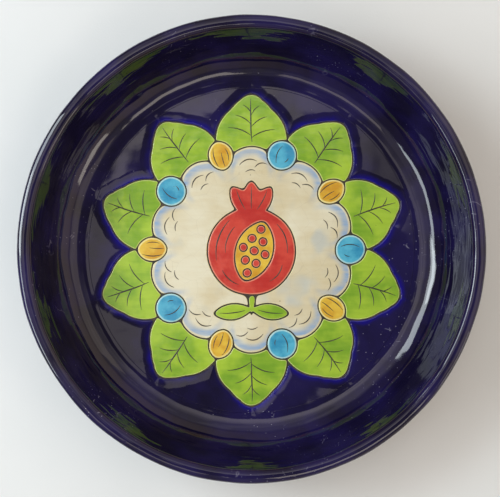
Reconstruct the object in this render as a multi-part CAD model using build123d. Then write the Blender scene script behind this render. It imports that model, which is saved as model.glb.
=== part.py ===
"""A round glazed earthenware dish whose well is inlaid with colour glazes, parted by bare lines.

Frame: millimetres, +Z up, origin on the table under the middle of the foot ring, +Y towards the top of the picture.
"""

from build123d import *
import math
import os

# Dish
DISH_RADIUS = 120.0
DISH_HEIGHT = 50.0
FLOOR_HEIGHT = 12.0
FLOOR_RADIUS = 89.8
COVE_RADIUS = 18.0
WALL_SLOPE = 72.0
LIP_OUTER_RADIUS = 3.0
LIP_INNER_RADIUS = 4.2
LIP_BEAD_ANGLE = 205.0
BELLY_RADIUS = 20.0
UNDERSIDE_HEIGHT = 5.8

# Foot ring, bare of glaze on its tread
FOOT_OUTER_RADIUS = 80.0
FOOT_INNER_RADIUS = 70.0
FOOT_ROOT_BEVEL = 1.6
FOOT_RECESS = 4.8
TREAD_HEIGHT = 1.4
TREAD_BEVEL = 1.0

# Curves run in chords that stay this close to them, and turn no more than this at a time.
CHORD_RISE = 0.18
CHORD_TURN = 30.0

# Glaze fields in the well's floor, flush with it
GROUND_RADIUS = 89.2
FIELD_THICKNESS = 0.4
LINE_WIDTH = 0.7

# Wreath of leaves and fruit
WREATH_COUNT = 10
LEAF_LOBES = [  # distance from the dish's axis, radius
    (50.0, 17.0),
    (61.0, 19.5),
    (71.0, 12.5),
    (78.0, 7.2),
]
LEAF_TIP_RADIUS = 85.4
LEAF_TIP_LENGTH = 28.0
LEAF_TIP_WIDTH = 13.0
FRUIT_RING_RADIUS = 54.3
LEMON_LENGTH = 16.5
LEMON_WIDTH = 13.0
PLUM_RADIUS = 8.1

# Medallion and pomegranate
MEDALLION_LOBE_RING = 42.0
MEDALLION_LOBE_RADIUS = 14.5
POMEGRANATE_RADIUS = 24.0
POMEGRANATE_CENTRE_Y = -1.0
CROWN_LENGTH = 20.0
CROWN_WIDTH = 9.5
CROWN_SPREAD = 34.0
CROWN_ROOT = 5.0
POCKET_LENGTH = 35.0
POCKET_WIDTH = 20.5
POCKET_SHIFT = 1.5
POCKET_TILT = -18.0
SEED_RADIUS = 2.0
SEED_PITCH = 6.3
SEED_ROWS = 2
STEM_LENGTH = 20.0
STEM_WIDTH = 3.8
STEM_LEAF_LENGTH = 21.0
STEM_LEAF_WIDTH = 8.5
STEM_LEAF_TILT = 96.0


def arc(centre, radius, start, end):
    """Points along a turn about a centre, between two angles in degrees."""
    step = min(CHORD_TURN, math.degrees(2 * math.acos(1 - CHORD_RISE / radius)))
    count = math.ceil(abs(end - start) / step)
    angles = [math.radians(start + (end - start) * k / count) for k in range(count + 1)]
    return [(centre[0] + radius * math.cos(a), centre[1] + radius * math.sin(a)) for a in angles]


def bulge(start, end, rise):
    """Points along an arc from start to end that rises to the right of the way it runs."""
    run = Vector(*end) - Vector(*start)
    radius = (run.length**2 / 4 + rise**2) / (2 * rise)
    left = Vector(-run.Y, run.X).normalized()
    centre = (Vector(*start) + Vector(*end)) * 0.5 + left * (radius - rise)
    facing = math.degrees(math.atan2(-left.Y, -left.X))
    half = math.degrees(math.asin(run.length / (2 * radius)))
    return arc((centre.X, centre.Y), radius, facing - half, facing + half)


def outline(points):
    """A face bounded by the points."""
    return make_face(Polyline(*points, close=True))


def disc(radius):
    """A round face about the origin."""
    return outline(arc((0, 0), radius, 0, 360)[:-1])


def dish_body():
    """The glazed body: inlaid floor, cove, wall, beaded lip, belly and the upper part of the foot ring."""
    lean = WALL_SLOPE - 90.0
    crest_x = DISH_RADIUS - LIP_OUTER_RADIUS
    outer_lip = arc((crest_x, DISH_HEIGHT - LIP_OUTER_RADIUS), LIP_OUTER_RADIUS, 90, lean)
    inner_lip = arc((crest_x, DISH_HEIGHT - LIP_INNER_RADIUS), LIP_INNER_RADIUS, LIP_BEAD_ANGLE, 90)
    cove = arc((FLOOR_RADIUS, FLOOR_HEIGHT + COVE_RADIUS), COVE_RADIUS, -90, lean)

    # The belly's turn touches both the level underside and the outer wall, which leans as the inner one does.
    outward = Vector(math.cos(math.radians(lean)), math.sin(math.radians(lean)))
    belly_z = UNDERSIDE_HEIGHT + BELLY_RADIUS
    wall_reach = Vector(*outer_lip[-1]).dot(outward) - BELLY_RADIUS
    belly_x = (wall_reach - belly_z * outward.Y) / outward.X
    belly = arc((belly_x, belly_z), BELLY_RADIUS, lean, -90)
    foot = [
        (FOOT_OUTER_RADIUS + FOOT_ROOT_BEVEL, UNDERSIDE_HEIGHT),
        (FOOT_OUTER_RADIUS, UNDERSIDE_HEIGHT - FOOT_ROOT_BEVEL),
        (FOOT_OUTER_RADIUS, TREAD_HEIGHT),
        (FOOT_INNER_RADIUS, TREAD_HEIGHT),
        (FOOT_INNER_RADIUS, FOOT_RECESS - FOOT_ROOT_BEVEL),
        (FOOT_INNER_RADIUS - FOOT_ROOT_BEVEL, FOOT_RECESS),
        (0, FOOT_RECESS),
    ]
    inlay = [
        (0, FLOOR_HEIGHT - FIELD_THICKNESS),
        (GROUND_RADIUS, FLOOR_HEIGHT - FIELD_THICKNESS),
        (GROUND_RADIUS, FLOOR_HEIGHT),
    ]
    section = outline([*inlay, *cove, *inner_lip, *outer_lip[1:], *belly, *foot])
    return revolve(Plane.XZ * section, Axis.Z)


def foot_tread():
    """The bare clay tread that the dish stands on."""
    section = outline([
        (FOOT_OUTER_RADIUS, TREAD_HEIGHT),
        (FOOT_INNER_RADIUS, TREAD_HEIGHT),
        (FOOT_INNER_RADIUS + TREAD_BEVEL, 0),
        (FOOT_OUTER_RADIUS - TREAD_BEVEL, 0),
    ])
    return revolve(Plane.XZ * section, Axis.Z)


def pointed_oval(length, width, grow=0.0):
    """Two arcs that meet in points, along Y and centred."""
    radius = (length**2 + width**2) / (4 * width)
    tip = math.sqrt((radius + grow) ** 2 - (radius - width / 2) ** 2)
    rise = width / 2 + grow
    return outline(bulge((0, -tip), (0, tip), rise)[:-1] + bulge((0, tip), (0, -tip), rise)[:-1])


def round_the_wreath(shape, radius, places):
    """Copies of a shape at a radius, each turned to point outward, by places counted round the wreath."""
    return [Rot(0, 0, 360.0 / WREATH_COUNT * place) * Pos(0, radius) * shape for place in places]


def lobed_leaf(grow):
    """A broad leaf of overlapping discs that ends in a point, reaching outward along Y."""
    tip = Pos(0, LEAF_TIP_RADIUS - LEAF_TIP_LENGTH / 2) * pointed_oval(LEAF_TIP_LENGTH, LEAF_TIP_WIDTH, grow)
    return tip + [Pos(0, distance) * disc(radius + grow) for distance, radius in LEAF_LOBES]


def front_leaves(grow):
    """Every second leaf of the wreath, in front of its neighbours."""
    return round_the_wreath(lobed_leaf(grow), 0, range(0, WREATH_COUNT, 2))


def back_leaves(grow):
    """The leaves between those, which show behind them."""
    return round_the_wreath(lobed_leaf(grow), 0, range(1, WREATH_COUNT, 2))


def wreath_lemons(grow):
    """Pointed fruit where every second pair of leaves meets, in front of them."""
    places = [k + 0.5 for k in range(0, WREATH_COUNT, 2)]
    return round_the_wreath(pointed_oval(LEMON_LENGTH, LEMON_WIDTH, grow), FRUIT_RING_RADIUS, places)


def wreath_plums(grow):
    """Round fruit where the other pairs meet."""
    places = [k + 0.5 for k in range(1, WREATH_COUNT, 2)]
    return round_the_wreath(disc(PLUM_RADIUS + grow), FRUIT_RING_RADIUS, places)


def medallion(grow):
    """A round field with a lobed edge, one lobe in front of each leaf."""
    lobes = round_the_wreath(disc(MEDALLION_LOBE_RADIUS + grow), MEDALLION_LOBE_RING, range(WREATH_COUNT))
    return [disc(MEDALLION_LOBE_RING) + lobes]


def stem_leaves(grow):
    """A short stem under the fruit with a leaf on each side."""
    foot = POMEGRANATE_CENTRE_Y - POMEGRANATE_RADIUS - STEM_LENGTH / 2
    stem = Pos(0, foot + STEM_LENGTH / 2) * pointed_oval(STEM_LENGTH, STEM_WIDTH, grow)
    leaf = Pos(0, STEM_LEAF_LENGTH / 2) * pointed_oval(STEM_LEAF_LENGTH, STEM_LEAF_WIDTH, grow)
    tilts = (STEM_LEAF_TILT, -STEM_LEAF_TILT)
    return [stem + [Pos(0, foot + 2) * Rot(0, 0, tilt) * leaf for tilt in tilts]]


def pomegranate(grow):
    """The fruit's round body with its crown of three pointed petals."""
    root = POMEGRANATE_CENTRE_Y + POMEGRANATE_RADIUS - CROWN_ROOT
    petal = Pos(0, CROWN_LENGTH / 2) * pointed_oval(CROWN_LENGTH, CROWN_WIDTH, grow)
    crown = [Pos(0, root) * Rot(0, 0, tilt) * petal for tilt in (-CROWN_SPREAD, 0, CROWN_SPREAD)]
    return [Pos(0, POMEGRANATE_CENTRE_Y) * disc(POMEGRANATE_RADIUS + grow) + crown]


def pocket_place():
    """Where the opened seed pocket sits on the fruit."""
    return Pos(POCKET_SHIFT, POMEGRANATE_CENTRE_Y) * Rot(0, 0, POCKET_TILT)


def seed_pocket(grow):
    """The opening that shows the fruit's seeds."""
    return [pocket_place() * pointed_oval(POCKET_LENGTH, POCKET_WIDTH, grow)]


def pomegranate_seeds(grow):
    """Rows of seeds in the pocket, fewer towards its ends."""
    places = []
    for row in range(-SEED_ROWS, SEED_ROWS + 1):
        count = SEED_ROWS + 1 - abs(row)
        places += [(SEED_PITCH * (k - (count - 1) / 2), SEED_PITCH * row) for k in range(count)]
    return [pocket_place() * Pos(x, y) * disc(SEED_RADIUS + grow) for x, y in places]


def picture():
    """The glaze fields as flat sketches: each keeps a line's width from those drawn in front of it."""
    from_the_front = [
        pomegranate_seeds,
        seed_pocket,
        pomegranate,
        stem_leaves,
        wreath_lemons,
        wreath_plums,
        medallion,
        front_leaves,
        back_leaves,
    ]
    fields = {}
    covered = Sketch()
    for motif in from_the_front:
        fields[motif.__name__] = Sketch() + [shape - covered for shape in motif(0.0)]
        covered += motif(LINE_WIDTH)
    fields["well_ground"] = disc(GROUND_RADIUS) - covered
    return fields


def main():
    parts = {"dish_body": dish_body(), "foot_tread": foot_tread()}
    for node, field in picture().items():
        parts[node] = extrude(Pos(0, 0, FLOOR_HEIGHT - FIELD_THICKNESS) * field, FIELD_THICKNESS)
    os.makedirs("parts", exist_ok=True)
    for node, part in parts.items():
        export_step(part, f"parts/{node}.step")
        print(node, len(part.solids()), round(part.volume, 1))


main()
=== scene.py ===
# %% [markdown]
# # Dressing a glazed earthenware dish
#
# The object is a round dish, thrown on a wheel and dipped in a dark cobalt glaze, with a picture of
# coloured glazes laid into the floor of its well. The frame holds its plain solids in metres, with the
# origin on the table under the middle of the foot and +Y towards the top of the picture. Every piece
# made here is built at that same place, so nothing has to be fitted afterwards.

# %% Load the frame
import math

import bpy
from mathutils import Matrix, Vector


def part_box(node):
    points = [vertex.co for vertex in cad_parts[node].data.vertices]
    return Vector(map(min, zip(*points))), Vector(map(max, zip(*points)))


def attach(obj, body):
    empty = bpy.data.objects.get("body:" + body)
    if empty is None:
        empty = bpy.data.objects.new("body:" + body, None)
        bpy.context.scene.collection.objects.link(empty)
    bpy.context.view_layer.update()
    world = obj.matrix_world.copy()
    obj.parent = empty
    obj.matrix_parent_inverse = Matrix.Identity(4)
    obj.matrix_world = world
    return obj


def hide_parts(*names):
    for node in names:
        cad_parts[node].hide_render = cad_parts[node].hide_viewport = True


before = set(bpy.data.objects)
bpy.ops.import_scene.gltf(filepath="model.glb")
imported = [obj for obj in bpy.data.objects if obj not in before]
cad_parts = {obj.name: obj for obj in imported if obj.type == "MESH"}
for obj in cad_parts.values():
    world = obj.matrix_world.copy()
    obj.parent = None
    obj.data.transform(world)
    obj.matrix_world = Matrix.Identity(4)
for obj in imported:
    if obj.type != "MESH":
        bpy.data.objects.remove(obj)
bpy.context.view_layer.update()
MM = 0.001
print("frame nodes:", ", ".join(sorted(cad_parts)))

# %% [markdown]
# ## Working on one piece at a time
#
# Blender's operators act on all that is selected, and the frame arrives selected. So each step starts by
# leaving just one object selected and active. Modifiers are added, set and applied in one call.

# %% Helpers for one piece
def only(piece):
    """Leaves one object selected and active, in object mode."""
    if bpy.context.mode != "OBJECT":
        bpy.ops.object.mode_set(mode="OBJECT")
    bpy.ops.object.select_all(action="DESELECT")
    piece.select_set(True)
    bpy.context.view_layer.objects.active = piece
    return piece


def apply_modifier(piece, kind, **settings):
    """Adds a modifier, sets it and applies it to the mesh."""
    only(piece)
    bpy.ops.object.modifier_add(type=kind)
    modifier = piece.modifiers[-1]
    for name, value in settings.items():
        setattr(modifier, name, value)
    bpy.ops.object.modifier_apply(modifier=modifier.name)


def report(piece):
    """Prints a finished mesh's size."""
    triangles = sum(len(face.vertices) - 2 for face in piece.data.polygons)
    print(f"{piece.name}: {len(piece.data.vertices)} vertices, {triangles} triangles")


# %% [markdown]
# ## The thrown dish
#
# A potter opens the clay on the wheel, so the dish is one section turned about its axis: a flat floor, a
# wide cove, a steep wall and a beaded lip, then the belly and foot ring outside. It could be made from a
# cylinder with many loops, but drawing the section and spinning it is what the wheel does, and it gives
# every curve as many points as its highlight needs. The section starts on the sunk bed under the picture.
# The lip is three arcs, flatter on its crown than at its edges, which spreads its highlight.

# %% Section of the dish
RIM_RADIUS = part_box("dish_body")[1].x / MM
RIM_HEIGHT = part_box("dish_body")[1].z / MM
BED_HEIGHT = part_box("well_ground")[0].z / MM
FLOOR_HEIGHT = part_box("well_ground")[1].z / MM + 0.1
GROUND_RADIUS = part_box("well_ground")[1].x / MM
TREAD_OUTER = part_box("foot_tread")[1].x / MM
TREAD_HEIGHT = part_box("foot_tread")[1].z / MM
TREAD_WIDTH = 10.0
COVE_START = 89.8
COVE_RADIUS = 18.0
WALL_LEAN = -18.0
LIP_OUTER = 2.2
LIP_INNER = 3.2
LIP_CROWN = 7.0
CROWN_FROM, CROWN_TO = 92.0, 71.0
BEAD_ANGLE = 210.0
BELLY_CENTRE = (92.22, 25.8)
BELLY_RADIUS = 20.0
FOOT_BEVEL = 1.6
FOOT_RECESS = 4.8


def at(centre, radius, angle):
    """The point at an angle in degrees round a centre."""
    a = math.radians(angle)
    return (centre[0] + radius * math.cos(a), centre[1] + radius * math.sin(a))


def turn(centre, radius, start, end, count):
    """Points along a turn about a centre, between two angles in degrees."""
    return [at(centre, radius, start + (end - start) * k / count) for k in range(count + 1)]


def run(start, end, count):
    """Points between two places, without the two ends."""
    shares = [k / count for k in range(1, count)]
    return [tuple(a + (b - a) * share for a, b in zip(start, end)) for share in shares]


def dish_section():
    """The section's points in mm, from the bed in the well round to the middle of the underside."""
    to_outer, to_inner = LIP_CROWN - LIP_OUTER, LIP_CROWN - LIP_INNER
    middle = (RIM_RADIUS - LIP_OUTER - at((0, 0), to_outer, CROWN_TO)[0], RIM_HEIGHT - LIP_CROWN)
    cove = turn((COVE_START, FLOOR_HEIGHT + COVE_RADIUS), COVE_RADIUS, -90, WALL_LEAN, 32)
    bead = turn(at(middle, to_inner, CROWN_FROM), LIP_INNER, BEAD_ANGLE, CROWN_FROM, 16)
    crown = turn(middle, LIP_CROWN, CROWN_FROM, CROWN_TO, 8)[1:]
    lip = turn(at(middle, to_outer, CROWN_TO), LIP_OUTER, CROWN_TO, WALL_LEAN, 12)[1:]
    belly = turn(BELLY_CENTRE, BELLY_RADIUS, WALL_LEAN, -90, 24)
    underside = belly[-1][1]
    root = turn((TREAD_OUTER + FOOT_BEVEL, underside - FOOT_BEVEL), FOOT_BEVEL, 90, 180, 5)
    inner = TREAD_OUTER - TREAD_WIDTH
    recess = turn((inner - FOOT_BEVEL, FOOT_RECESS - FOOT_BEVEL), FOOT_BEVEL, 0, 90, 5)
    bed = [(0.0, BED_HEIGHT), (GROUND_RADIUS, BED_HEIGHT), (GROUND_RADIUS, FLOOR_HEIGHT)]
    foot = [(TREAD_OUTER, TREAD_HEIGHT), (inner, TREAD_HEIGHT)]
    wall = run(cove[-1], bead[0], 22)
    outside = run(lip[-1], belly[0], 8)
    within = bed + cove + wall + bead + crown + lip
    return within + outside + belly + root + foot + recess + [(0.0, FOOT_RECESS)]


# %% Spin the section
SPIN_STEPS = 360
MERGE = 0.005 * MM


def lathe(name, section):
    """Draws a section by extruding one vertex from point to point, then spins it into a closed form."""
    bpy.ops.object.select_all(action="DESELECT")
    bpy.ops.mesh.primitive_plane_add(size=MM)
    piece = bpy.context.object
    piece.name = piece.data.name = name
    bpy.ops.object.mode_set(mode="EDIT")
    bpy.ops.mesh.merge(type="CENTER")
    bpy.ops.transform.translate(value=(section[0][0] * MM, 0, section[0][1] * MM))
    for here, there in zip(section, section[1:]):
        step = ((there[0] - here[0]) * MM, 0, (there[1] - here[1]) * MM)
        bpy.ops.mesh.extrude_region_move(TRANSFORM_OT_translate={"value": step})
    bpy.ops.mesh.select_all(action="SELECT")
    bpy.ops.mesh.spin(steps=SPIN_STEPS, angle=math.tau, center=(0, 0, 0), axis=(0, 0, 1))
    bpy.ops.mesh.select_all(action="SELECT")
    bpy.ops.mesh.remove_doubles(threshold=MERGE)
    bpy.ops.mesh.normals_make_consistent(inside=False)
    bpy.ops.object.mode_set(mode="OBJECT")
    return piece


dish = lathe("dish", dish_section())
report(dish)

# %% [markdown]
# ## Uneven walls
#
# Hands and running glaze leave a thrown wall slightly uneven, and a glossy dark glaze shows it: the
# reflections waver. A bump in the material would do in a still picture, but real unevenness also bends
# the long highlights, so the mesh itself is displaced. A vertex group keeps the floor, the bed and the
# foot true, because the picture has to lie flush in them.

# %% Displace the walls
def clouds(name, size_mm):
    """A soft noise for Displace modifiers."""
    texture = bpy.data.textures.new(name, "CLOUDS")
    texture.noise_scale = size_mm * MM
    texture.noise_depth = 1
    return texture


def weigh(piece, name, share):
    """A vertex group whose weight is worked out from each vertex's radius and height in mm."""
    group = piece.vertex_groups.new(name=name)
    for vertex in piece.data.vertices:
        x, y, z = (c / MM for c in vertex.co)
        group.add([vertex.index], share(math.hypot(x, y), z), "REPLACE")
    return group.name


def fade(value, start, end):
    """0 before start, 1 after end, and a straight ramp between."""
    return min(1.0, max(0.0, (value - start) / (end - start)))


UNEVEN = [  # name, size and height of the unevenness in mm
    ("throwing", 26.0, 0.7),
    ("glaze_runs", 11.0, 0.16),
]
FREE_RADIUS = (96, 104)
FREE_HEIGHT = (6, 14)
walls = weigh(
    dish, "walls", lambda radius, height: fade(radius, *FREE_RADIUS) * fade(height, *FREE_HEIGHT)
)
for name, size, strength in UNEVEN:
    apply_modifier(
        dish, "DISPLACE", texture=clouds(name, size), texture_coords="GLOBAL",
        strength=strength * MM, mid_level=0.5, vertex_group=walls,
    )
TURNED_EDGE = math.radians(40)
only(dish)
bpy.ops.object.shade_smooth_by_angle(angle=TURNED_EDGE)
print("unevenness of the walls:", UNEVEN)

# %% [markdown]
# ## The bare tread
#
# The ring that the dish stands on is wiped clean before firing, or the glaze would stick to the kiln
# shelf. It shows raw clay. It is turned like the dish, with small rounded edges.

# %% Spin the tread
TREAD_ROUND = 1.0
inner = TREAD_OUTER - TREAD_WIDTH
tread_section = (
    [(inner, TREAD_HEIGHT)]
    + turn((inner + TREAD_ROUND, TREAD_ROUND), TREAD_ROUND, 180, 270, 5)
    + turn((TREAD_OUTER - TREAD_ROUND, TREAD_ROUND), TREAD_ROUND, 270, 360, 5)
    + [(TREAD_OUTER, TREAD_HEIGHT), (inner, TREAD_HEIGHT)]
)
tread = lathe("bare_tread", tread_section)
only(tread)
bpy.ops.object.shade_smooth_by_angle(angle=TURNED_EDGE)
report(tread)

# %% [markdown]
# ## The pooled glaze fields
#
# The picture is laid in the dry-line way: a greasy dark line is drawn on the clay, and each colour is
# filled up to it. In the fire the glazes melt into shallow pools with rounded edges, and the line stays
# bare and matt between them. Each pool starts as a merged copy of its solid in the frame. Its top is
# inset in rings, the outer ones are lowered to make the shoulder, and a Subdivision Surface turns the
# chords into flowing outlines. The rings also leave an attribute, 0 at the edge and 1 inside, that the
# glaze colours read. The flat middle is taken out before the smoothing and filled again after it, so the
# surface stays true for reflections.

# %% Helpers for the pools
RINGS = [  # inset from the last ring, drop of the ring outside it, value of the attribute inside
    (0.28, 0.20, 0.15),
    (0.50, 0.05, 0.45),
    (0.60, 0.00, 1.00),
    (0.40, 0.00, 1.00),
]
SHORTEST = 0.6
HAND_MM = 0.9
HAND_FADE = (86.0, 88.8)
RIM_BAND = 1.8
POOL_EDGE = math.radians(60)
hand_across = clouds("hand_across", 17)
hand_along = clouds("hand_along", 23)


def select_faces(piece, wanted):
    """In edit mode afterwards, with just the wanted faces selected."""
    only(piece)
    bpy.ops.object.mode_set(mode="EDIT")
    bpy.ops.mesh.select_mode(type="FACE")
    bpy.ops.mesh.select_all(action="DESELECT")
    bpy.ops.object.mode_set(mode="OBJECT")
    for face in piece.data.polygons:
        face.select = wanted(face)
    bpy.ops.object.mode_set(mode="EDIT")


def select_vertices(piece, wanted):
    """In edit mode afterwards, with just the wanted vertices selected."""
    only(piece)
    bpy.ops.object.mode_set(mode="EDIT")
    bpy.ops.mesh.select_mode(type="VERT")
    bpy.ops.mesh.select_all(action="DESELECT")
    bpy.ops.object.mode_set(mode="OBJECT")
    for vertex in piece.data.vertices:
        vertex.select = wanted(vertex)
    bpy.ops.object.mode_set(mode="EDIT")


def mark_edge(piece, value):
    """Writes the ring's value on the vertices of the selected faces."""
    bpy.ops.object.mode_set(mode="OBJECT")
    layer = piece.data.attributes["edge"]
    for face in piece.data.polygons:
        if face.select:
            for index in face.vertices:
                layer.data[index].value = value


def near_ground_rim(vertex):
    """Whether a vertex lies on the round outer edge of the cobalt ground."""
    return math.hypot(vertex.co.x, vertex.co.y) > (GROUND_RADIUS - RIM_BAND) * MM


# %% Shape one pool
def draw_by_hand(piece):
    """Lets outlines wander as a hand-drawn line does, fading out before the ground's round edge."""
    free = weigh(piece, "free", lambda radius, height: 1 - fade(radius, *HAND_FADE))
    for texture, direction in ((hand_across, "X"), (hand_along, "Y")):
        apply_modifier(
            piece, "DISPLACE", texture=texture, texture_coords="GLOBAL", direction=direction,
            strength=HAND_MM * MM, mid_level=0.5, vertex_group=free,
        )


def collapse_short_edges(piece):
    """Takes out the outline's edges that are too short to be inset, where two curves meet."""
    mesh = piece.data
    sides, flats = set(), set()
    for face in mesh.polygons:
        keys = sides if abs(face.normal.z) < 0.5 else flats
        keys.update(face.edge_keys)
    corner = [vertex.co for vertex in mesh.vertices]
    short = {key for key in sides & flats if (corner[key[0]] - corner[key[1]]).length < SHORTEST * MM}
    select_faces(piece, lambda face: False)
    bpy.ops.mesh.select_mode(type="EDGE")
    bpy.ops.object.mode_set(mode="OBJECT")
    for edge in mesh.edges:
        edge.select = edge.key in short
    bpy.ops.object.mode_set(mode="EDIT")
    bpy.ops.mesh.edge_collapse()
    bpy.ops.object.mode_set(mode="OBJECT")


def pool(node, name, ring_scale, lift):
    """A pool of glaze from a node: rings inset in its top, shoulders lowered, middle and bottom left open."""
    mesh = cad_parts[node].data.copy()
    mesh.materials.clear()
    mesh.name = name
    mesh.attributes.new("edge", "FLOAT", "POINT")
    piece = bpy.data.objects.new(name, mesh)
    bpy.context.collection.objects.link(piece)
    only(piece)
    bpy.ops.object.mode_set(mode="EDIT")
    bpy.ops.mesh.select_all(action="SELECT")
    bpy.ops.mesh.remove_doubles(threshold=MERGE)
    bpy.ops.object.mode_set(mode="OBJECT")
    collapse_short_edges(piece)
    select_faces(piece, lambda face: abs(face.normal.z) < 0.5)
    bpy.ops.mesh.tris_convert_to_quads(face_threshold=math.radians(5), shape_threshold=math.pi)
    select_faces(piece, lambda face: face.normal.z > 0.5)
    bpy.ops.transform.translate(value=(0, 0, lift * MM))
    for inset, drop, value in RINGS:
        bpy.ops.mesh.inset(thickness=inset * ring_scale * MM, use_even_offset=False)
        mark_edge(piece, value)
        bpy.ops.object.mode_set(mode="EDIT")
    bpy.ops.mesh.delete(type="FACE")
    select_faces(piece, lambda face: face.normal.z < -0.5)
    bpy.ops.mesh.delete(type="FACE")
    bpy.ops.object.mode_set(mode="OBJECT")
    top = max(vertex.co.z for vertex in mesh.vertices)
    outside = 0.0
    for inset, drop, value in RINGS:
        layer = mesh.attributes["edge"]
        ring = {v.index for v in mesh.vertices if abs(layer.data[v.index].value - outside) < 0.01}
        select_vertices(
            piece, lambda v: v.index in ring and v.co.z > top - 0.01 * MM and not near_ground_rim(v)
        )
        bpy.ops.transform.translate(value=(0, 0, -drop * MM))
        bpy.ops.object.mode_set(mode="OBJECT")
        outside = value
    return piece


def fill_level(piece, low, high, pierced):
    """Fills the open loops between two heights in mm with flat faces, round the holes of a pierced pool."""
    only(piece)
    bpy.ops.object.mode_set(mode="EDIT")
    bpy.ops.mesh.select_mode(type="VERT")
    bpy.ops.mesh.select_all(action="DESELECT")
    bpy.ops.mesh.select_non_manifold(
        use_wire=False, use_multi_face=False, use_non_contiguous=False, use_verts=False
    )
    bpy.ops.object.mode_set(mode="OBJECT")
    open_loops = {v.index for v in piece.data.vertices if v.select and low < v.co.z / MM < high}
    select_vertices(piece, lambda v: v.index in open_loops)
    if pierced:
        bpy.ops.mesh.fill(use_beauty=True)
    else:
        bpy.ops.mesh.edge_face_add()
        bpy.ops.mesh.quads_convert_to_tris()
    bpy.ops.object.mode_set(mode="OBJECT")


def finish_pool(piece, pierced):
    """Wanders and rounds a pool's outline, closes it and smooths its shading."""
    draw_by_hand(piece)
    apply_modifier(piece, "SUBSURF", levels=2, render_levels=2)
    middle = (BED_HEIGHT + FLOOR_HEIGHT) / 2
    fill_level(piece, middle, FLOOR_HEIGHT + 1, pierced)
    fill_level(piece, BED_HEIGHT - 1, middle, pierced)
    only(piece)
    bpy.ops.object.mode_set(mode="EDIT")
    bpy.ops.mesh.select_all(action="SELECT")
    bpy.ops.mesh.normals_make_consistent(inside=False)
    bpy.ops.object.mode_set(mode="OBJECT")
    bpy.ops.object.shade_smooth_by_angle(angle=POOL_EDGE)
    report(piece)
    return piece


# %% Make the colour pools
COLOUR_POOLS = [  # node of the frame, material slot, scale of the rings, whether holes pierce it
    ("pomegranate_seeds", "red_glaze", 0.48, False),
    ("seed_pocket", "yellow_glaze", 0.18, True),
    ("pomegranate", "red_glaze", 0.75, True),
    ("stem_leaves", "green_glaze", 0.35, False),
    ("medallion", "cream_glaze", 0.35, True),
    ("wreath_lemons", "yellow_glaze", 1.0, False),
    ("wreath_plums", "turquoise_glaze", 1.0, False),
    ("front_leaves", "green_glaze", 0.5, False),
    ("back_leaves", "green_glaze", 0.5, False),
]
COLOUR_LIFT = 0.05
pools = {}
for node, slot, ring_scale, pierced in COLOUR_POOLS:
    pools[node] = finish_pool(pool(node, node + "_pool", ring_scale, COLOUR_LIFT), pierced)

# %% [markdown]
# ## The cobalt ground
#
# The dark ground round the wreath is a pool like the others, and a little fuller, so that its shoulders
# catch thin bright lines along the leaves. Its outer edge meets the turned floor, where the same glaze
# carries on. So that edge is creased, and after smoothing it is set back to the floor's edge with a hair
# of overlap, and no seam shows.

# %% Make the ground
GROUND_RINGS = 0.8
GROUND_LIFT = 0.1
RIM_OVERLAP = 0.03
ground = pool("well_ground", "cobalt_ground", GROUND_RINGS, GROUND_LIFT)
rim_level = FLOOR_HEIGHT - 0.2
select_vertices(
    ground, lambda v: v.co.xy.length > (GROUND_RADIUS - 0.1) * MM and v.co.z > rim_level * MM
)
bpy.ops.transform.edge_crease(value=1.0)
bpy.ops.object.mode_set(mode="OBJECT")
finish_pool(ground, pierced=True)
smoothed = max(v.co.xy.length for v in ground.data.vertices) / MM
select_vertices(ground, lambda v: v.co.xy.length > (smoothed - 0.04) * MM)
regain = (GROUND_RADIUS + RIM_OVERLAP) / smoothed
bpy.ops.transform.resize(value=(regain, regain, 1), center_override=(0, 0, 0))
bpy.ops.object.mode_set(mode="OBJECT")
print(f"ground edge brought from {smoothed:.3f} back to {smoothed * regain:.3f} mm")

# %% [markdown]
# ## Drawn strokes
#
# Inside the pools the same dark line is used with a thin brush: veins on the leaves, curls in the
# medallion's lobes, the fruit's roundness. A stroke swells in the middle and thins out at its ends. Each
# one is a short path with a bevel and a radius that follows that swell, made a mesh and pressed flat
# into the glaze. One leaf's veins are drawn once, then copied round the wreath.

# %% Helpers for strokes
STROKE_SWELL = (0.35, 0.9, 1.0, 0.8, 0.25)
STROKE_PRESS = 0.42
STROKE_HEIGHT = FLOOR_HEIGHT - 0.06
WREATH_COUNT = 10


def stroke(start, end, bow, width):
    """One brush stroke between two places in mm; bow is how far its middle stands out to the left."""
    bpy.ops.object.select_all(action="DESELECT")
    bpy.ops.curve.primitive_nurbs_path_add()
    piece = bpy.context.object
    across = (end[0] - start[0], end[1] - start[1])
    length = math.hypot(*across)
    left = (-across[1] / length, across[0] / length)
    for k, point in enumerate(piece.data.splines[0].points):
        share = k / (len(STROKE_SWELL) - 1)
        out = bow * 4 * share * (1 - share)
        x = start[0] + across[0] * share + left[0] * out
        y = start[1] + across[1] * share + left[1] * out
        point.co = (x * MM, y * MM, 0, 1)
        point.radius = STROKE_SWELL[k]
    piece.data.resolution_u = 6
    piece.data.bevel_depth = width / 2 * MM
    piece.data.bevel_resolution = 1
    piece.data.use_fill_caps = True
    bpy.ops.object.convert(target="MESH")
    bpy.ops.object.mode_set(mode="EDIT")
    bpy.ops.mesh.select_all(action="SELECT")
    bpy.ops.transform.resize(value=(1, 1, STROKE_PRESS), center_override=(0, 0, 0))
    bpy.ops.transform.translate(value=(0, 0, STROKE_HEIGHT * MM))
    bpy.ops.object.mode_set(mode="OBJECT")
    return piece


def join(pieces, name):
    """Joins pieces into one."""
    bpy.ops.object.select_all(action="DESELECT")
    for piece in pieces:
        piece.select_set(True)
    bpy.context.view_layer.objects.active = pieces[0]
    bpy.ops.object.join()
    pieces[0].name = pieces[0].data.name = name
    return pieces[0]


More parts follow.
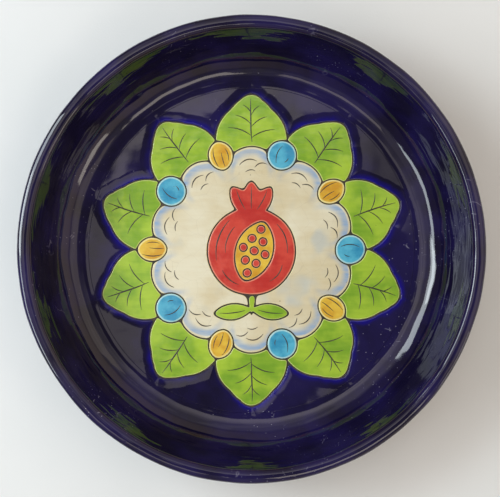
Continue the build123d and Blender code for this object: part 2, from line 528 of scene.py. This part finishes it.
def round_the_wreath(piece, places):
    """Copies of a piece, each with its own mesh, turned to places counted in tenths of the wreath."""
    copies = []
    for place in places:
        only(piece)
        bpy.ops.object.duplicate(linked=False)
        copy = bpy.context.object
        copy.rotation_euler = (0, 0, math.tau * place / WREATH_COUNT)
        bpy.ops.object.transform_apply(location=False, rotation=True, scale=False)
        copies.append(copy)
    bpy.data.objects.remove(piece)
    return copies


def finish_strokes(piece):
    """Wanders the strokes with the pools under them and smooths their shading."""
    draw_by_hand(piece)
    only(piece)
    bpy.ops.object.shade_smooth_by_angle(angle=POOL_EDGE)
    report(piece)
    return piece


# %% Veins on the leaves
LEAF_STROKES = [  # start, end, bow, width
    ((0.3, 59.0), (-0.2, 83.0), 0.5, 0.95),
    ((0.2, 61.5), (13.0, 66.0), 1.5, 0.75),
    ((0.2, 62.5), (-12.8, 67.2), -1.5, 0.75),
    ((0.0, 67.5), (8.8, 73.0), 1.2, 0.7),
    ((0.0, 68.5), (-8.6, 74.0), -1.2, 0.7),
    ((0.0, 73.8), (4.6, 79.0), 0.8, 0.65),
    ((0.0, 74.6), (-4.4, 79.6), -0.8, 0.65),
]
leaf_strokes = join([stroke(*values) for values in LEAF_STROKES], "leaf_veins")
veins = finish_strokes(join(round_the_wreath(leaf_strokes, range(WREATH_COUNT)), "leaf_veins"))

# %% Curls in the lobes and marks on the fruit
LOBE_STROKES = [
    ((-6.5, 46.5), (3.0, 48.4), 2.8, 0.8),
    ((1.8, 45.0), (8.6, 46.6), 1.9, 0.75),
    ((-3.4, 42.6), (2.2, 43.0), 1.3, 0.7),
]
LEMON_STROKES = [
    ((-2.8, 48.8), (-2.6, 59.8), 1.4, 0.7),
    ((0.6, 48.0), (0.8, 56.0), 0.4, 0.6),
    ((3.2, 50.4), (3.2, 57.6), -0.9, 0.6),
]
PLUM_STROKES = [
    ((-1.6, 49.2), (-1.2, 59.4), 1.9, 0.7),
    ((2.6, 51.0), (3.8, 54.0), -0.5, 0.6),
]
REPEATED = [  # strokes, name, places round the wreath
    (LOBE_STROKES, "lobe_curls", range(WREATH_COUNT)),
    (LEMON_STROKES, "lemon_marks", [k + 0.5 for k in range(0, WREATH_COUNT, 2)]),
    (PLUM_STROKES, "plum_marks", [k + 0.5 for k in range(1, WREATH_COUNT, 2)]),
]
strokes = [veins]
for table, name, places in REPEATED:
    once = join([stroke(*values) for values in table], name)
    strokes.append(finish_strokes(join(round_the_wreath(once, places), name)))

# %% Roundness of the pomegranate
POMEGRANATE_STROKES = [
    ((-12.0, 16.0), (-19.4, -6.0), -3.4, 0.9),
    ((-9.0, 12.5), (-14.4, -2.0), -2.2, 0.75),
    ((-16.0, -11.5), (-7.0, -19.4), -1.6, 0.8),
    ((14.0, 14.0), (19.8, -2.0), 2.2, 0.8),
    ((17.0, -8.5), (9.8, -17.5), 1.8, 0.8),
    ((-3.2, 22.0), (-8.4, 32.5), 0.6, 0.7),
    ((0.2, 22.5), (0.0, 34.5), 0.3, 0.7),
    ((3.2, 22.0), (8.4, 32.5), -0.6, 0.7),
    ((-3.6, -33.4), (-17.5, -34.8), 0.8, 0.7),
    ((3.6, -33.4), (17.5, -34.8), -0.8, 0.7),
]
pomegranate_lines = join([stroke(*values) for values in POMEGRANATE_STROKES], "pomegranate_lines")
strokes.append(finish_strokes(pomegranate_lines))

# %% [markdown]
# ## Shader maths as plain sums
#
# A material's nodes are easier to read as sums. This small class holds one output socket: adding or
# multiplying two of them adds a Math node, and one method adds any other kind of node from its type, its
# settings and its sockets.

# %% The class that writes nodes
class Tint:
    """One socket of a node tree that can be used in sums."""

    def __init__(self, tree, socket=None):
        self.tree = tree
        self.socket = socket

    def node(self, kind, settings=None, sockets=None, out=0):
        """Adds a node: its settings first, then the values or links of its sockets."""
        made = self.tree.nodes.new(kind)
        for name, value in (settings or {}).items():
            setattr(made, name, value)
        for name, value in (sockets or {}).items():
            if isinstance(value, Tint):
                self.tree.links.new(value.socket, made.inputs[name])
            else:
                made.inputs[name].default_value = value
        return Tint(self.tree, made.outputs[out] if made.outputs else None)

    def math(self, operation, *values):
        return self.node("ShaderNodeMath", {"operation": operation}, dict(enumerate(values)))

    def __add__(self, other):
        return self.math("ADD", self, other)

    def __sub__(self, other):
        return self.math("SUBTRACT", self, other)

    def __rsub__(self, other):
        return self.math("SUBTRACT", other, self)

    def __mul__(self, other):
        return self.math("MULTIPLY", self, other)

    def __truediv__(self, other):
        return self.math("DIVIDE", self, other)

    def __rtruediv__(self, other):
        return self.math("DIVIDE", other, self)

    __radd__ = __add__
    __rmul__ = __mul__

    def least(self, other):
        return self.math("MINIMUM", self, other)

    def most(self, other):
        return self.math("MAXIMUM", self, other)

    def size(self, other):
        """The length of the two sides of a right angle."""
        return self.math("SQRT", self * self + other * other)

    def ramp(self, start, end):
        """A smooth step from 0 at start to 1 at end."""
        sockets = {"Value": self, "From Min": start, "From Max": end}
        return self.node("ShaderNodeMapRange", {"interpolation_type": "SMOOTHSTEP"}, sockets)

    def between(self, low, high):
        """The colour low where this is 0 and high where it is 1."""
        return self.node("ShaderNodeMix", {"data_type": "RGBA"}, {0: self, 6: low, 7: high}, 2)

    def noise(self, scale, detail=2.0, roughness=0.5):
        """Noise at this place."""
        sockets = {"Vector": self, "Scale": scale, "Detail": detail, "Roughness": roughness}
        return self.node("ShaderNodeTexNoise", {}, sockets)

    def shake(self, scale, reach):
        """A vector of noise at this place, to bend another pattern by."""
        sockets = {"Vector": self, "Scale": scale}
        wild = self.node("ShaderNodeTexNoise", {}, sockets, "Color")
        sockets = {0: wild, 1: (0.5, 0.5, 0.5)}
        centred = self.node("ShaderNodeVectorMath", {"operation": "SUBTRACT"}, sockets)
        return self.node("ShaderNodeVectorMath", {"operation": "SCALE"}, {0: centred, "Scale": reach})

    def specks(self, scale, size, share):
        """Small round specks: a share of the cells of a Voronoi pattern have one, of about this size."""
        settings = {"feature": "F1"}
        near = self.node("ShaderNodeTexVoronoi", settings, {"Vector": self, "Scale": scale}, "Distance")
        cell = self.node("ShaderNodeTexVoronoi", settings, {"Vector": self, "Scale": scale}, "Color")
        pick = cell.node("ShaderNodeSeparateColor", {}, {"Color": cell}, "Red")
        return near.ramp(size, size * 0.4) * pick.ramp(1 - share, 1 - share * 0.9)


def srgb(red, green, blue):
    """A colour written as on a screen, 0 to 255, as the linear colour a socket takes."""
    parts = [c / 255 for c in (red, green, blue)]
    return (*[p / 12.92 if p <= 0.04045 else ((p + 0.055) / 1.055) ** 2.4 for p in parts], 1.0)


def start(name):
    """A new material with an empty tree, and the place on the surface that its patterns read."""
    material = bpy.data.materials.new(name)
    material.use_nodes = True
    material.node_tree.nodes.clear()
    place = Tint(material.node_tree).node("ShaderNodeTexCoord", out="Object")
    return material, place


def finish_glaze(place, colour, roughness, height, depth):
    """Ends a material in a glassy coat: colour, roughness and a height in metres times depth."""
    bump = place.node("ShaderNodeBump", {}, {"Strength": 1.0, "Distance": depth, "Height": height})
    sockets = {"Base Color": colour, "Roughness": roughness, "Normal": bump, "IOR": 1.52}
    surface = place.node("ShaderNodeBsdfPrincipled", {}, sockets)
    place.node("ShaderNodeOutputMaterial", {"target": "ALL"}, {"Surface": surface})


# %% [markdown]
# ## Cobalt glaze
#
# Cobalt oxide stains a glaze so strongly that where it lies thick it looks almost black, and it breaks
# to a vivid ultramarine where it thins out against the picture. That glow follows the outlines, so its
# distance is worked out in the material: every sector of the wreath is folded onto one, where the leaf
# is three discs and a pointed oval. The smallest of those distances makes the glow. The underside has no
# picture, so there the distance is set far off. Long noise round the wall, dust and small pinholes finish it.

# %% Distances to the picture
LEAF_DISCS = [(61.0, 19.5), (71.0, 12.5), (78.0, 7.2)]  # distance from the axis, radius
LEAF_TIP = (71.4, 28.0, 13.0)  # distance from the axis, length, width
LOBE_RING, LOBE_RADIUS = 42.0, 14.5
FAR_OFF = 60.0


def axes(place):
    """The x and y of a place."""
    return [place.node("ShaderNodeSeparateXYZ", {}, {"Vector": place}, axis) for axis in "XY"]


def height_of(place):
    """The z of a place."""
    return place.node("ShaderNodeSeparateXYZ", {}, {"Vector": place}, "Z")


def fold(place):
    """Across and outward distances in mm after turning every sector of the wreath onto one."""
    x, y = axes(place)
    half = math.pi / WREATH_COUNT
    angle = x.math("ARCTAN2", x, y)
    local = angle.math("WRAP", angle, half, -half)
    radius = x.size(y) / MM
    return radius * local.math("SINE", local), radius * local.math("COSINE", local)


def to_disc(across, outward, centre, radius):
    """Distance outside a disc on the sector's middle line."""
    return across.size(outward - centre) - radius


def to_oval(across, outward, centre, length, width):
    """Distance outside a pointed oval on the sector's middle line."""
    arc = (length**2 + width**2) / (4 * width)
    return (across.math("ABSOLUTE", across) + (arc - width / 2)).size(outward - centre) - arc


def to_picture(place):
    """Distance in mm from the nearest outline of the wreath, and far off on all that is below the bed."""
    across, outward = fold(place)
    nearest = to_oval(across, outward, *LEAF_TIP)
    for centre, radius in LEAF_DISCS:
        nearest = nearest.least(to_disc(across, outward, centre, radius))
    below = 1 - (height_of(place) / MM).ramp(BED_HEIGHT - 2, BED_HEIGHT - 1)
    return nearest + below * FAR_OFF


# %% The cobalt material
def scratches(place, scale, bend):
    """Short, hair-fine bent lines."""
    bent = place.node("ShaderNodeVectorMath", {"operation": "ADD"}, {0: place, 1: place.shake(60, bend)})
    sockets = {"Vector": bent, "Scale": scale}
    line = place.node("ShaderNodeTexVoronoi", {"feature": "DISTANCE_TO_EDGE"}, sockets, "Distance")
    return (1 - line.ramp(0.006, 0.014)) * place.noise(170, 1).ramp(0.60, 0.68)


def round_the_axis(place, radius):
    """The place moved to a cylinder of this radius, so that patterns stretch round the dish."""
    x, y = axes(place)
    shrink = radius / (x.size(y) + MM)
    sockets = {"X": x * shrink, "Y": y * shrink, "Z": height_of(place)}
    return place.node("ShaderNodeCombineXYZ", {}, sockets)


WALL_BAND = (99, 106)
STRETCH_RADII = (0.042, 0.022)
COBALT_RELIEF = 0.0006


def cobalt():
    material, place = start("cobalt_glaze")
    x, y = axes(place)
    wall = (x.size(y) / MM).ramp(*WALL_BAND)
    picture = to_picture(place)
    pooled = place.noise(38, 3).ramp(0.35, 0.68)
    deep = pooled.between(srgb(17, 13, 40), srgb(29, 23, 72))
    patchy = place.noise(30, 3).ramp(0.38, 0.62) * 0.9 + 0.1
    spread = picture + (place.noise(130, 3) - 0.5) * 3.0
    glow = (1 - spread.ramp(0.0, 4.2)) * patchy
    colour = glow.least(1.0).between(deep, srgb(18, 8, 132))
    dusty = place.noise(20, 2).ramp(0.50, 0.66)
    dust = place.specks(620, 0.20, 0.30) * dusty + place.specks(240, 0.07, 0.10) * 0.8
    dust = (dust + scratches(place, 55, 0.02) * dusty * 0.5).least(1.0)
    colour = dust.between(colour, srgb(138, 136, 160))
    grain = place.noise(900, 2)
    roughness = 0.045 + grain * 0.03 + dust * 0.3
    swell = place.noise(62, 1) * 0.45 + place.noise(190, 1) * 0.025 + grain * 0.004
    floor_swell = (place.noise(19, 1) - 0.5) * 1.5 + (picture.ramp(0.0, 6.0) - 1.0) * 0.45
    thrown, drawn_out = [round_the_axis(place, radius) for radius in STRETCH_RADII]
    runs = (thrown.noise(110, 1) - 0.5) * 0.5 + (drawn_out.noise(300, 1) - 0.5) * 0.3
    pits = place.specks(95, 0.12, 0.12) * wall
    height = swell + floor_swell * (1 - wall) + runs * wall - dust * 0.02 - pits * 0.12
    finish_glaze(place, colour, roughness, height, COBALT_RELIEF)
    return material


# %% [markdown]
# ## Colour glazes
#
# The colour glazes are thick, a little cloudy and uneven where the brush laid them on. Next to a line
# each one pulls back and shows a paler rim. Each material starts from the pools' edge attribute for that
# rim, has clouds of a second, deeper tone, fine streaks from the brush, and a few brown specks of iron.

# %% One recipe for the colour glazes
def edge_of(place):
    """The pools' attribute, 0 at the edge and 1 inside."""
    return place.node("ShaderNodeAttribute", {"attribute_name": "edge"}, out="Fac")


def brushed(place, turned):
    """Streaks as a loaded brush leaves them, along one direction."""
    settings = {"vector_type": "POINT"}
    sockets = {"Vector": place, "Rotation": (0, 0, math.radians(turned)), "Scale": (60, 420, 60)}
    return place.node("ShaderNodeMapping", settings, sockets).noise(1.0, 3)


def clouded(place, light, deep, rim, size, turned):
    """Base colour of a brushed glaze: two tones in clouds, streaks and a pale rim at the lines."""
    clouds_mask = place.noise(1000 / size, 3, 0.55).ramp(0.36, 0.66)
    tone = (clouds_mask * 0.8 + brushed(place, turned).ramp(0.35, 0.7) * 0.2)
    inside = edge_of(place) + (place.noise(350, 2) - 0.5) * 0.5
    return inside.ramp(0.12, 0.8).between(rim, tone.between(light, deep))


def iron_specks(place, colour, strength):
    """Brown specks of iron in the glaze."""
    spots = place.specks(190, 0.075, 0.13) * strength
    return spots.between(colour, srgb(92, 70, 46))


def end_colour(place, colour, sheen):
    """Gloss and a slightly rippled surface, common to the colour glazes."""
    ripple = place.noise(140, 2) * 0.5 + place.noise(700, 2) * 0.05
    roughness = sheen + place.noise(260, 2) * 0.1
    finish_glaze(place, colour, roughness, ripple, 0.00035)


# %% Green, red, yellow and turquoise
COLOUR_GLAZES = [  # slot, light, deep, rim, size of the clouds in mm, direction of the brush
    ("green_glaze", (168, 200, 62), (118, 163, 46), (206, 220, 128), 17, 30),
    ("red_glaze", (212, 80, 66), (186, 50, 46), (226, 138, 112), 14, 75),
    ("yellow_glaze", (228, 194, 74), (205, 150, 44), (238, 224, 150), 9, 20),
    ("turquoise_glaze", (92, 184, 212), (48, 140, 182), (176, 220, 222), 9, 50),
]
materials = {"cobalt_glaze": cobalt()}
for slot, light, deep, rim, size, turned in COLOUR_GLAZES:
    materials[slot], place = start(slot)
    colour = clouded(place, srgb(*light), srgb(*deep), srgb(*rim), size, turned)
    end_colour(place, iron_specks(place, colour, 0.6), 0.1)
print("colour glazes:", ", ".join(materials))

# %% [markdown]
# ## Cream with blue shading
#
# The cream field is the plain body glaze, warmer where it lies thin. The painter shaded it with a soft
# pale blue that follows the lobes a little inside their outline. The folded sector gives the distance
# from the lobe's edge, and noise makes the band as uneven as a brush does. Hair-fine crazing ends it.

# %% The cream material
def cream():
    material, place = start("cream_glaze")
    colour = clouded(place, srgb(228, 224, 200), srgb(212, 200, 164), srgb(232, 226, 176), 30, 10)
    across, outward = fold(place)
    inward = LOBE_RADIUS - across.size(outward - LOBE_RING)
    wander = (place.noise(90, 2) - 0.5) * 3.2
    x, y = axes(place)
    outer = (x.size(y) / MM).ramp(39, 46)
    band = (inward + wander * 0.35).ramp(0.9, 1.7) * (1 - (inward + wander).ramp(2.6, 6.4)) * outer
    band = band * (0.55 + brushed(place, 40).ramp(0.3, 0.75) * 0.45)
    band = band * (1 - across.math("ABSOLUTE", across).ramp(8.5, 12.5) * 0.8)
    colour = (band * 0.92).between(colour, srgb(132, 168, 208))
    wash = place.noise(48, 2).ramp(0.56, 0.74) * (1 - outer) * 0.55
    colour = wash.between(colour, srgb(178, 192, 198))
    bent = place.node("ShaderNodeVectorMath", {"operation": "ADD"}, {0: place, 1: place.shake(40, 0.012)})
    sockets = {"Vector": bent, "Scale": 105}
    crack = place.node("ShaderNodeTexVoronoi", {"feature": "DISTANCE_TO_EDGE"}, sockets, "Distance")
    colour = ((1 - crack.ramp(0.0, 0.016)) * 0.10).between(colour, srgb(120, 104, 82))
    end_colour(place, iron_specks(place, colour, 0.85), 0.12)
    return material


materials["cream_glaze"] = cream()

# %% [markdown]
# ## The dark line and the bare clay
#
# The line is manganese in grease, drawn on the raw clay: it burns to a dry brown-black, browner where it
# is thin. The tread shows the clay itself, warm and buff with darker grains and turning marks.

# %% Line and clay materials
def dark_line():
    material, place = start("dark_line")
    colour = place.noise(240, 3).ramp(0.4, 0.75).between(srgb(40, 38, 32), srgb(78, 66, 48))
    roughness = 0.32 + place.noise(500, 2) * 0.2
    finish_glaze(place, colour, roughness, place.noise(1500, 2), 0.00006)
    return material


def bare_clay():
    material, place = start("bare_clay")
    x, y = axes(place)
    turning = (x.size(y) * 5200).math("SINE", x.size(y) * 5200) * 0.5 + 0.5
    colour = place.noise(120, 4).ramp(0.3, 0.7).between(srgb(216, 190, 160), srgb(190, 156, 122))
    colour = (place.specks(520, 0.2, 0.3) * 0.6).between(colour, srgb(120, 84, 60))
    colour = (turning * 0.12).between(colour, srgb(150, 118, 90))
    grain = place.noise(1600, 4)
    finish_glaze(place, colour, 0.72 + grain * 0.2, grain + turning * 0.4, 0.00025)
    return material


materials["dark_line"] = dark_line()
materials["bare_clay"] = bare_clay()

# %% [markdown]
# ## Putting finishes and pieces together
#
# Every piece rides on the dish's one body and gets its finish, and the solids of the frame that it stands
# for are hidden. The bed in the well belongs to the turned dish, but what shows of it between the
# pools is the dark line, so those faces get that material.

# %% Assign finishes
def dress(piece, finish, slot, *nodes):
    """Gives a piece its finish and its body, and hides the frame's nodes that it stands for."""
    piece.data.materials.append(materials[finish])
    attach(piece, "root")
    if nodes:
        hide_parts(*nodes)


dress(dish, "cobalt_glaze", "cobalt_glaze", "dish_body")
dish.data.materials.append(materials["dark_line"])
bed_faces = 0
for face in dish.data.polygons:
    middle = face.center / MM
    if abs(middle.z - BED_HEIGHT) < 0.05 and math.hypot(middle.x, middle.y) < GROUND_RADIUS:
        face.material_index = 1
        bed_faces += 1
dress(tread, "bare_clay", "bare_clay", "foot_tread")
dress(ground, "cobalt_glaze", "cobalt_glaze", "well_ground")
for node, slot, ring_scale, pierced in COLOUR_POOLS:
    dress(pools[node], slot, slot, node)
for piece in strokes:
    dress(piece, "dark_line", None)
print("bed faces with the dark line:", bed_faces)

# %% [markdown]
# ## The table
#
# The dish lies on a pale, smooth sheet. It is a wide plane with a faint tooth, kept plain so that the
# dish's soft shadow shows on it.

# %% Floor
TABLE_SIZE = 6.0
bpy.ops.object.select_all(action="DESELECT")
bpy.ops.mesh.primitive_plane_add(size=TABLE_SIZE)
floor = bpy.context.object
floor.name = "table"
sheet, place = start("pale_sheet")
colour = place.noise(9, 3).ramp(0.3, 0.7).between(srgb(230, 234, 236), srgb(225, 230, 232))
finish_glaze(place, colour, 0.75 + place.noise(60, 2) * 0.1, place.noise(900, 3), 0.00005)
floor.data.materials.append(sheet)

# %% [markdown]
# ## Window and room
#
# The light is one wide window on the left, about forty degrees up, and a dim warm room. The glaze is a
# dark mirror, so the window shows as the long streak in the right of the cove and as thin lines on the
# lip. The room shows too: right overhead it is dark with a few bright patches, further out the ceiling is
# brighter on the window's side, and low down there are warm walls. A lamp's brightness is given as its
# radiance and turned into watts by its area, so that a white sheet renders about white.

# %% Lamps
def panel(name, azimuth, elevation, distance, width, height, radiance, colour):
    """A rectangular lamp that faces the dish from a direction in degrees."""
    light = bpy.data.lights.new(name, "AREA")
    light.shape = "RECTANGLE"
    light.size, light.size_y = width, height
    light.energy = radiance * math.pi * width * height
    light.color = colour
    lamp = bpy.data.objects.new(name, light)
    bpy.context.collection.objects.link(lamp)
    a, e = math.radians(azimuth), math.radians(elevation)
    towards = (math.cos(a) * math.cos(e), math.sin(a) * math.cos(e), math.sin(e))
    lamp.location = [distance * c for c in towards]
    lamp.rotation_euler = (-lamp.location).to_track_quat("-Z", "Y").to_euler()


PANELS = [  # name, azimuth, elevation, distance, width, height, radiance, colour
    ("window", 160, 43, 1.0, 0.48, 0.36, 7.6, (0.87, 0.96, 1.0)),
    ("window_edge", 186, 42, 1.0, 0.72, 0.17, 7.6, (0.87, 0.96, 1.0)),
    ("warm_wall", 8, 54, 1.6, 1.3, 0.7, 0.7, (1.0, 0.82, 0.60)),
    ("lit_wall", -64, 57, 1.5, 0.62, 0.26, 3.4, (1.0, 0.90, 0.78)),
    ("dim_wall", -120, 59, 1.5, 0.55, 0.20, 1.6, (1.0, 0.88, 0.78)),
    ("far_lamp", -28, 30, 1.6, 0.40, 0.30, 3.8, (1.0, 0.92, 0.80)),
]
for values in PANELS:
    panel(*values)

# %% Room
OVERHEAD = (0.165, 0.19)
CEILING_END = (0.72, 0.84)
WALLS_START = (0.76, 0.86)
DARK_ROOM = (0.05, 0.047, 0.047, 1)
LIT_CEILING = (2.2, 2.02, 1.95, 1)
WARM_WALLS = (1.5, 1.2, 0.9, 1)
world = bpy.data.worlds.new("room")
bpy.context.scene.world = world
world.use_nodes = True
world.node_tree.nodes.clear()
room = Tint(world.node_tree)
direction = room.node("ShaderNodeTexCoord", out="Generated")
up = height_of(direction)
across, along = axes(direction)
lean = across.size(along)
overhead = 1 - lean.ramp(*OVERHEAD)
patches = direction.noise(7.5, 0.5).ramp(0.53, 0.55)
beams = direction.noise(6.0, 0.0).ramp(0.50, 0.56)
window_side = (along * 0.87 - across * 0.5) / (lean + 0.01)
bias = window_side * (0.62 - lean.ramp(0.3, 0.5) * 0.52)
ceiling = (0.245 + bias).most(0.05) * (1 - lean.ramp(*CEILING_END))
level = overhead * (0.03 + patches * 0.47) + (1 - overhead) * ceiling * (1 - beams * 0.3)
walls = lean.ramp(*WALLS_START) * (0.25 + across * 0.38).most(0.06)
colour = level.between(DARK_ROOM, LIT_CEILING)
colour = (walls * up.ramp(-0.1, 0.0)).between(colour, WARM_WALLS)
background = room.node("ShaderNodeBackground", {}, {"Color": colour, "Strength": 1.0})
room.node("ShaderNodeOutputWorld", {"target": "ALL"}, {"Surface": background})
bpy.context.scene.view_settings.view_transform = "Standard"

# %% [markdown]
# ## Camera
#
# The photograph looks almost straight down. The rim's circle fills the frame, so the focal length comes
# from the rim's radius, the camera's distance and the share of the frame that the rim takes.

# %% Camera
CAMERA_HEIGHT = 0.55
CAMERA_TILT = 2.0
RIM_PIXELS, FRAME_PIXELS = 234.6, 500
RIM_SHARE = RIM_PIXELS / FRAME_PIXELS
FRAME_SHIFT = (0.00076, 0.00072)
widest = at((0, RIM_HEIGHT - LIP_CROWN), LIP_CROWN - LIP_OUTER, CROWN_TO)[1] * MM
rim_distance = CAMERA_HEIGHT - widest
camera_data = bpy.data.cameras.new("camera")
camera_data.sensor_width = 36.0
camera_data.lens = camera_data.sensor_width * RIM_SHARE * rim_distance / (RIM_RADIUS * MM)
camera = bpy.data.objects.new("camera", camera_data)
bpy.context.collection.objects.link(camera)
tilt = math.radians(CAMERA_TILT)
camera.location = (
    -FRAME_SHIFT[0],
    -FRAME_SHIFT[1] - rim_distance * math.sin(tilt),
    widest + rim_distance * math.cos(tilt),
)
camera.rotation_euler = (tilt, 0, 0)
bpy.context.scene.camera = camera
print(f"lens {camera_data.lens:.1f} mm")
